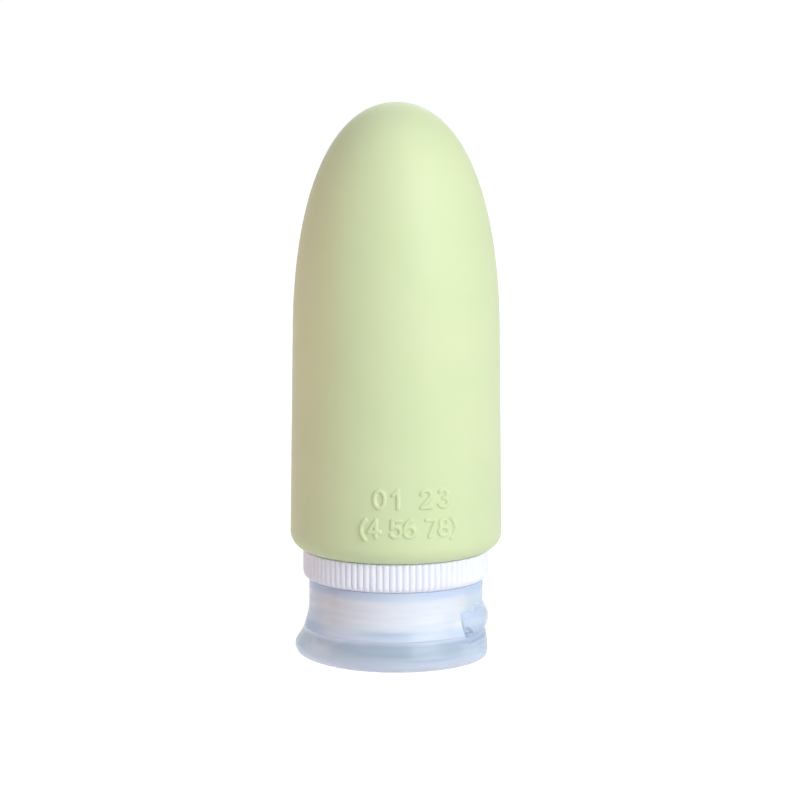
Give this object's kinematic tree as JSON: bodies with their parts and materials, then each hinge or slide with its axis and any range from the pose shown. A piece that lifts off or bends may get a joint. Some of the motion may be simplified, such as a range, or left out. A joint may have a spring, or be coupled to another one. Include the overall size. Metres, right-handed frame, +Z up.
{
  "type": "travel silicone bottle",
  "caption": "Squeezable domed silicone bottle standing on a flared flip lid, with a knurled clamp collar, a screw cap and a slit no-drip valve.",
  "frame": {"origin": "on the bottle's axis, at the flip lid's underside, which is the face that it stands on", "axes": "+Z up along the bottle's axis, towards the dome; +X towards the lid's hinge; -X towards the thumb lip"},
  "size_m": [0.047, 0.047, 0.1239],
  "materials": {
    "silicone": "satin translucent pale green silicone",
    "white_plastic": "satin moulded white polypropylene",
    "collar_plastic": "satin moulded white, fine vertical knurl",
    "washer": "matt white silicone",
    "frosted_cap": "translucent polypropylene",
    "frosted_lid": "translucent polypropylene",
    "frosted_strap": "translucent polypropylene",
    "valve_silicone": "matt translucent silicone"
  },
  "bodies": {
    "cap": {"cap_base": "frosted_cap", "hinge_strap": "frosted_strap", "no_drip_valve": "valve_silicone", "valve_retainer": "white_plastic"},
    "lid": {"flip_lid": "frosted_lid"},
    "washer": {"sealing_washer": "washer"},
    "bottle": {"silicone_body": "silicone", "neck_insert": "white_plastic", "clamp_collar": "collar_plastic"}
  },
  "joints": [
    {"name": "lid_hinge", "type": "hinge", "parent": "cap", "child": "lid", "pos_m": [0.0203, 0, 0.00688], "axis": [0, -1, 0], "range_deg": [0, 170], "deforming": ["hinge_strap"]},
    {"name": "bottle_turn", "type": "hinge", "parent": "cap", "child": "washer", "pos_m": [0, 0, 0], "axis": [0, 0, 1], "range_deg": [0, 720]},
    {"name": "bottle_lift", "type": "slide", "parent": "washer", "child": "bottle", "axis": [0, 0, 1], "range_m": [0, 0.008]}
  ],
  "couplings": [
    {"joint": "bottle_lift", "follows": "bottle_turn", "m_per_rad": 0.0006366}
  ]
}
